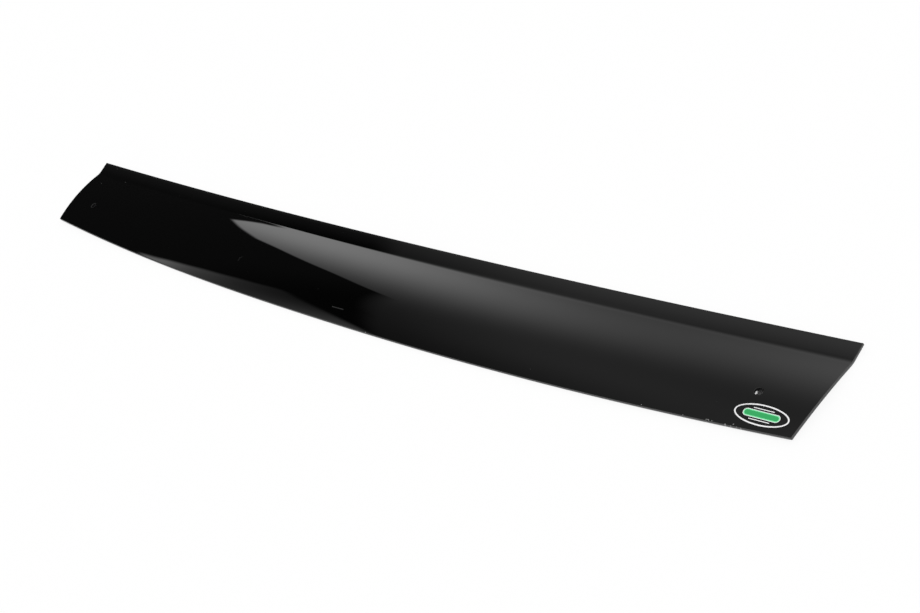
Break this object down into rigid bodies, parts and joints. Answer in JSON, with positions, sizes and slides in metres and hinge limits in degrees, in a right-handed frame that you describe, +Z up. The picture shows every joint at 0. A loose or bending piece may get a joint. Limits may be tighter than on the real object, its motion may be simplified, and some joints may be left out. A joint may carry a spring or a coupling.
{
  "type": "hood deflector",
  "caption": "Long glossy black curved sheet that fits along a vehicle hood's front edge to deflect wind and insects, with a bent-up rear lip and end screw holes.",
  "frame": {"origin": "middle of the outline in plan, on the table that the sheet lies on", "axes": "+X along the length to the end with the label, +Y to the bent-up rear lip, +Z up out of the crown"},
  "size_m": [1.3, 0.1538, 0.0096],
  "materials": {
    "black_acrylic": "polished high gloss on both faces, with the cut edges left satin",
    "label_film": "printed vinyl film: black ground, white oval line and plain green bars"
  },
  "bodies": {
    "root": {"deflector": "black_acrylic", "label": "label_film"}
  },
  "joints": []
}
